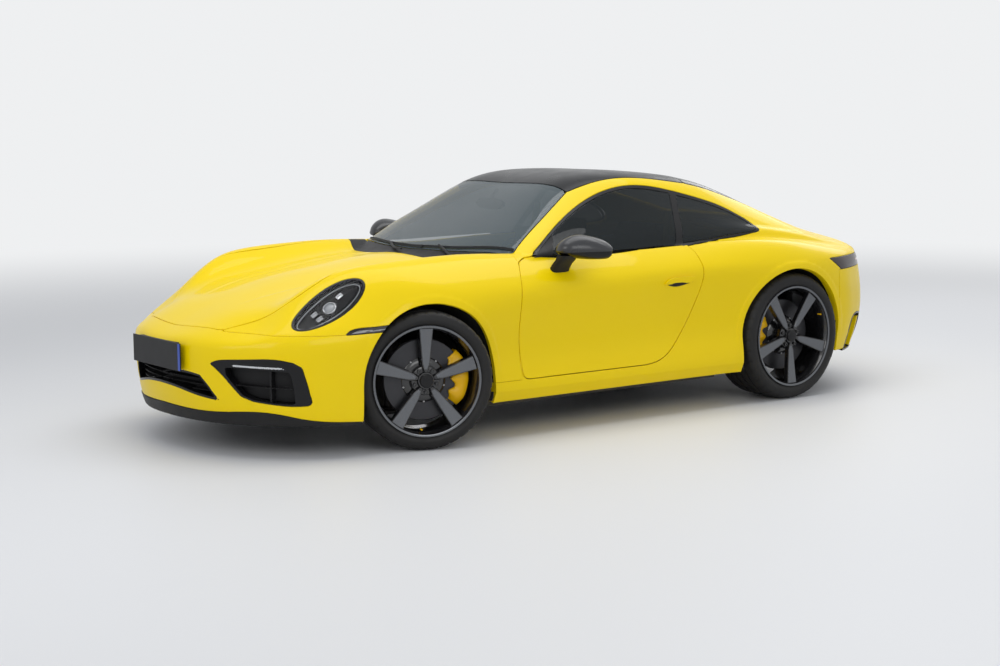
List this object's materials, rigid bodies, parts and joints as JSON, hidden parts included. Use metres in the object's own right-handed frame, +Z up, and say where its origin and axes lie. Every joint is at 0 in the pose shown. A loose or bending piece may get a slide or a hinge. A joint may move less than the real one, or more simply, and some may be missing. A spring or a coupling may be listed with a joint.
{
  "type": "rear-engined sports coupe car",
  "caption": "Two-door rear-engined coupe with opening doors, bonnet and engine lid, sliding spoiler, steered front wheels and turning wheels.",
  "frame": {"origin": "on the ground under the middle of the car's overall box", "axes": "+X forward, +Y to the car's left, +Z up"},
  "size_m": [4.5188, 2.025, 1.3013],
  "materials": {
    "body_paint": "gloss",
    "black_paint": "gloss",
    "dark_glass": "polished",
    "lamp_glass": "polished",
    "red_lamp": "polished",
    "black_plastic": "matt",
    "gloss_black": "gloss",
    "tyre_rubber": "matt",
    "wheel_alloy": "satin",
    "caliper_paint": "gloss",
    "bare_alloy": "satin",
    "steel": "brushed",
    "seat_leather": "matt",
    "cast_alloy": "cast"
  },
  "bodies": {
    "body_shell": {"arch_liners": "black_plastic", "cowl": "black_plastic", "dashboard": "black_plastic", "engine_block": "cast_alloy", "exhausts": "steel", "floor_pan": "body_paint", "front_axle": "cast_alloy", "front_bumper": "body_paint", "front_fenders": "body_paint", "front_grille": "black_plastic", "headlamps": "lamp_glass", "quarter_glass": "dark_glass", "rear_axle": "cast_alloy", "rear_bumper": "body_paint", "rear_calipers": "caliper_paint", "rear_diffuser": "black_plastic", "rear_window": "dark_glass", "roof_panel": "black_paint", "seats": "seat_leather", "side_frame_left": "body_paint", "side_frame_right": "body_paint", "tail_lamp": "red_lamp", "windscreen": "dark_glass"},
    "bonnet": {"bonnet": "body_paint"},
    "engine_lid": {"engine_lid": "body_paint"},
    "spoiler": {"spoiler": "body_paint"},
    "steering_wheel": {"steering_wheel": "seat_leather"},
    "door_left": {"door_left": "body_paint", "door_glass_left": "dark_glass", "mirror_left": "gloss_black"},
    "knuckle_left": {"knuckle_left": "bare_alloy", "caliper_left": "caliper_paint"},
    "wheel_front_left": {"wheel_front_left": "wheel_alloy", "tyre_front_left": "tyre_rubber"},
    "wheel_rear_left": {"wheel_rear_left": "wheel_alloy", "tyre_rear_left": "tyre_rubber"},
    "door_right": {"door_right": "body_paint", "door_glass_right": "dark_glass", "mirror_right": "gloss_black"},
    "knuckle_right": {"knuckle_right": "bare_alloy", "caliper_right": "caliper_paint"},
    "wheel_front_right": {"wheel_front_right": "wheel_alloy", "tyre_front_right": "tyre_rubber"},
    "wheel_rear_right": {"wheel_rear_right": "wheel_alloy", "tyre_rear_right": "tyre_rubber"}
  },
  "joints": [
    {"name": "bonnet_hinge", "type": "hinge", "parent": "body_shell", "child": "bonnet", "pos_m": [0.735, 0, 0.916], "axis": [0, -1, 0], "range_deg": [0, 65]},
    {"name": "engine_lid_hinge", "type": "hinge", "parent": "body_shell", "child": "engine_lid", "pos_m": [-1.444, 0, 1.012], "axis": [0, 1, 0], "range_deg": [0, 55]},
    {"name": "spoiler_slide", "type": "slide", "parent": "body_shell", "child": "spoiler", "axis": [-0.5, 0, 0.866], "range_m": [0, 0.09]},
    {"name": "door_hinge_left", "type": "hinge", "parent": "body_shell", "child": "door_left", "pos_m": [0.603, 0.89, 0.6], "axis": [0, 0, -1], "range_deg": [0, 62]},
    {"name": "door_hinge_right", "type": "hinge", "parent": "body_shell", "child": "door_right", "pos_m": [0.603, -0.89, 0.6], "axis": [0, 0, 1], "range_deg": [0, 62]},
    {"name": "steer_left", "type": "hinge", "parent": "body_shell", "child": "knuckle_left", "pos_m": [1.2385, 0.78, 0.34], "axis": [0, 0, 1], "range_deg": [-20, 56]},
    {"name": "steer_right", "type": "hinge", "parent": "body_shell", "child": "knuckle_right", "pos_m": [1.2385, -0.78, 0.34], "axis": [0, 0, 1], "range_deg": [-20, 56]},
    {"name": "spin_front_left", "type": "hinge", "parent": "knuckle_left", "child": "wheel_front_left", "pos_m": [1.24314, 0.79427, 0.34], "axis": [0.309, 0.9511, 0], "continuous": true},
    {"name": "spin_rear_left", "type": "hinge", "parent": "body_shell", "child": "wheel_rear_left", "pos_m": [-1.2115, 0.768, 0.358], "axis": [0, 1, 0], "continuous": true},
    {"name": "spin_front_right", "type": "hinge", "parent": "knuckle_right", "child": "wheel_front_right", "pos_m": [1.23386, -0.79427, 0.34], "axis": [0.309, 0.9511, 0], "continuous": true},
    {"name": "spin_rear_right", "type": "hinge", "parent": "body_shell", "child": "wheel_rear_right", "pos_m": [-1.2115, -0.768, 0.358], "axis": [0, 1, 0], "continuous": true},
    {"name": "steering_wheel_turn", "type": "hinge", "parent": "body_shell", "child": "steering_wheel", "pos_m": [0.33, 0.37, 0.771], "axis": [-0.9432, 0, 0.3322], "range_deg": [-290, 800]}
  ],
  "couplings": [
    {"joint": "steer_right", "follows": "steer_left", "ratio": 1},
    {"joint": "steering_wheel_turn", "follows": "steer_left", "ratio": 14}
  ]
}
